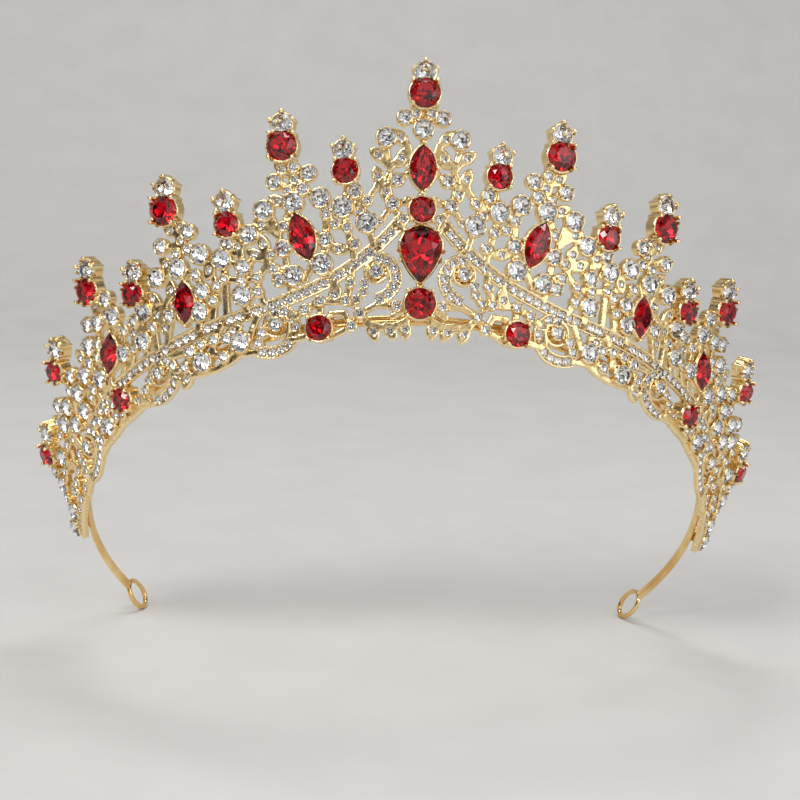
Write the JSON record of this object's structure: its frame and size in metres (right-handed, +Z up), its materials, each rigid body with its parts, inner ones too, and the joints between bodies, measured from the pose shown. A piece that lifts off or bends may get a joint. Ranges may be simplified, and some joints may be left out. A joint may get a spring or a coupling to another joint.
{
  "type": "bridal tiara",
  "caption": "Gilt cast tiara with red and clear stones in pointed sprays and scrolls on a bent double-wire head band with pin loops.",
  "frame": {"origin": "centre of the head band circle, midway between its two wires", "axes": "+X to the right as seen from the front, -Y to the front, +Z up; the band leans as worn, its front raised 50 degrees"},
  "size_m": [0.1658, 0.0777, 0.1369],
  "materials": {
    "cast_metal": "polished pale gold plate",
    "wire_metal": "polished gold plated wire",
    "red_crystal": "faceted foil-backed red glass",
    "clear_crystal": "faceted foil-backed clear glass"
  },
  "bodies": {
    "root": {"band_lower_wire": "wire_metal", "band_upper_wire": "wire_metal", "centre_clear_crystals": "clear_crystal", "centre_column": "cast_metal", "centre_marquise_setting": "cast_metal", "centre_pear_setting": "cast_metal", "centre_red_marquise": "red_crystal", "centre_red_pear": "red_crystal", "centre_red_rounds": "red_crystal", "centre_tip_crystal": "clear_crystal", "left_back_border": "cast_metal", "left_band_clip": "wire_metal", "left_end_loop": "wire_metal", "left_end_scroll": "cast_metal", "left_end_spray": "cast_metal", "left_front_border": "cast_metal", "left_inner_scroll": "cast_metal", "left_inner_spray": "cast_metal", "left_large_crystals": "clear_crystal", "left_large_red_rounds": "red_crystal", "left_leaf_crystals": "clear_crystal", "left_middle_border": "cast_metal", "left_middle_scroll": "cast_metal", "left_middle_spray": "cast_metal", "left_outer_scroll": "cast_metal", "left_outer_spray": "cast_metal", "left_rail": "cast_metal", "left_rail_pave": "clear_crystal", "left_red_marquises": "red_crystal", "left_scroll_pave": "clear_crystal", "left_side_spray": "cast_metal", "left_small_crystals": "clear_crystal", "left_small_red_rounds": "red_crystal", "left_tip_crystals": "clear_crystal", "right_back_border": "cast_metal", "right_band_clip": "wire_metal", "right_end_loop": "wire_metal", "right_end_scroll": "cast_metal", "right_end_spray": "cast_metal", "right_front_border": "cast_metal", "right_inner_scroll": "cast_metal", "right_inner_spray": "cast_metal", "right_large_crystals": "clear_crystal", "right_large_red_rounds": "red_crystal", "right_leaf_crystals": "clear_crystal", "right_middle_border": "cast_metal", "right_middle_scroll": "cast_metal", "right_middle_spray": "cast_metal", "right_outer_scroll": "cast_metal", "right_outer_spray": "cast_metal", "right_rail": "cast_metal", "right_rail_pave": "clear_crystal", "right_red_marquises": "red_crystal", "right_scroll_pave": "clear_crystal", "right_side_spray": "cast_metal", "right_small_crystals": "clear_crystal", "right_small_red_rounds": "red_crystal", "right_tip_crystals": "clear_crystal", "solder_posts": "wire_metal"}
  },
  "joints": []
}
